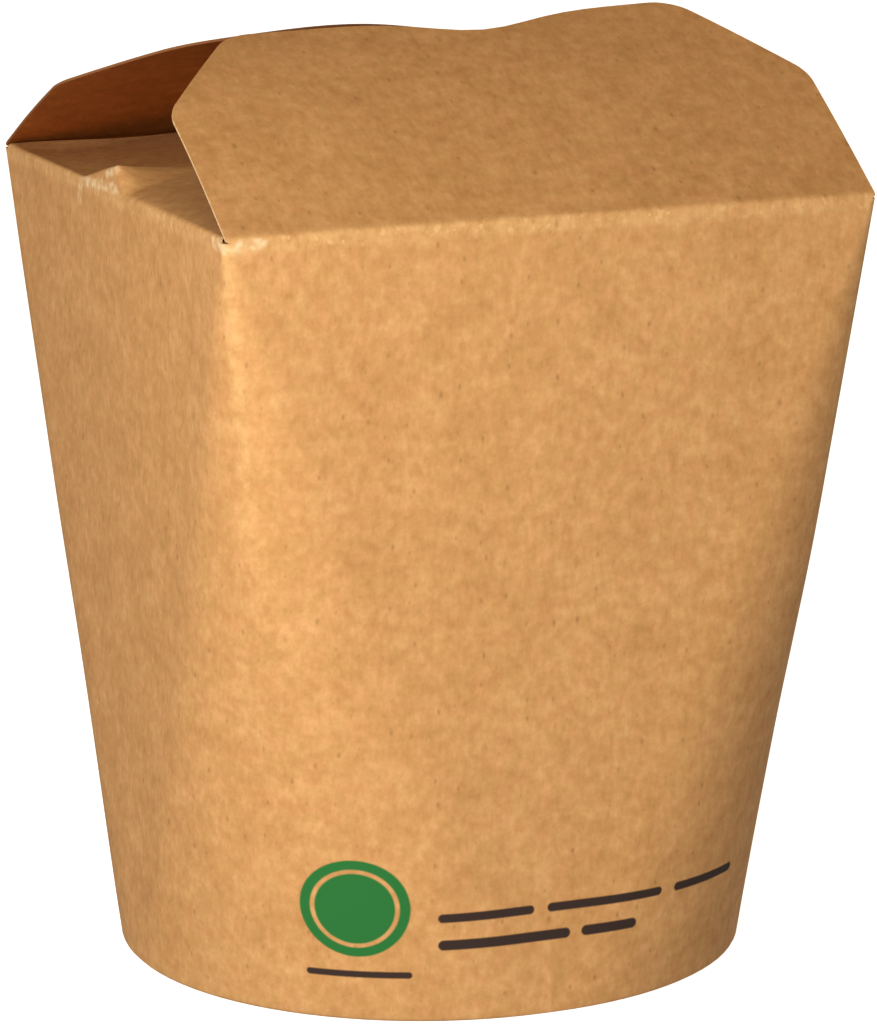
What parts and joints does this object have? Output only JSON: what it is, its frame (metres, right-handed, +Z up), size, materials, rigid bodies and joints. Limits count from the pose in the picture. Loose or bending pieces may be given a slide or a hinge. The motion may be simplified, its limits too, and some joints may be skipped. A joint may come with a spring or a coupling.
{
  "type": "noodle takeaway box",
  "caption": "Shut takeaway box for noodles, of kraft board: a round base growing into a square rim, side flaps folded in low, front and back flaps leaning over them.",
  "frame": {"origin": "middle of the ring that the box stands on, on the table", "axes": "+Z up, -Y towards the printed front panel, +X towards the right side flap seen from the front"},
  "size_m": [0.0956, 0.0956, 0.1364],
  "materials": {
    "kraft_board": "matt uncoated kraft board, with print in green and dark ink",
    "kraft_base_board": "matt uncoated kraft board"
  },
  "bodies": {
    "root": {"folded_box": "kraft_board", "base_disc": "kraft_base_board"}
  },
  "joints": []
}
